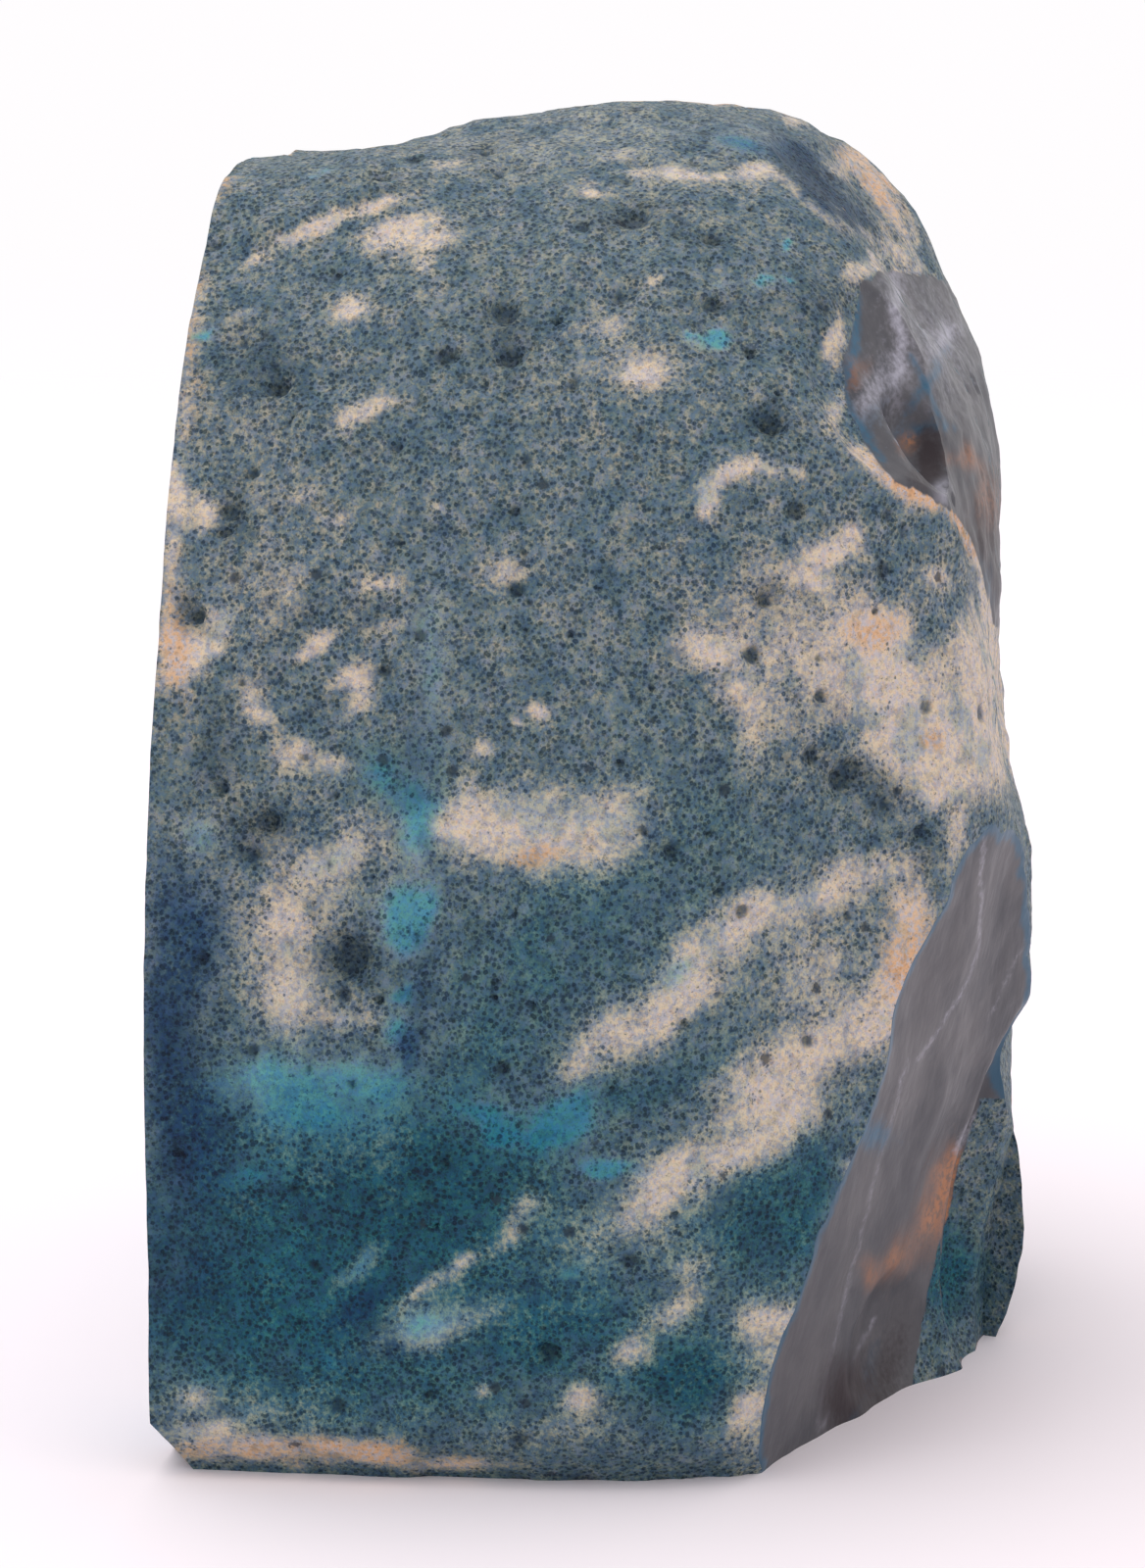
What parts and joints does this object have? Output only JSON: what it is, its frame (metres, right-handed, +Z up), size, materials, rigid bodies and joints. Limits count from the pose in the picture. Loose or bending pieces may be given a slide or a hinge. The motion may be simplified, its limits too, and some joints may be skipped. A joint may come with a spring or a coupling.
{
  "type": "dyed agate base",
  "caption": "Half of a dyed agate nodule as a free-standing base: flat sawn foot, one polished face, pitted natural rind and a broken grey back.",
  "frame": {"origin": "middle of the outline on the foot plane", "axes": "+Z up from the sawn foot, -Y out of the polished face, +X towards the natural rind"},
  "size_m": [0.0969, 0.0711, 0.114],
  "materials": {
    "agate": "pitted grey-teal rind with cream patches and teal dye, glossy polished face, broken grey chalcedony"
  },
  "bodies": {
    "root": {"agate_base": "agate"}
  },
  "joints": []
}
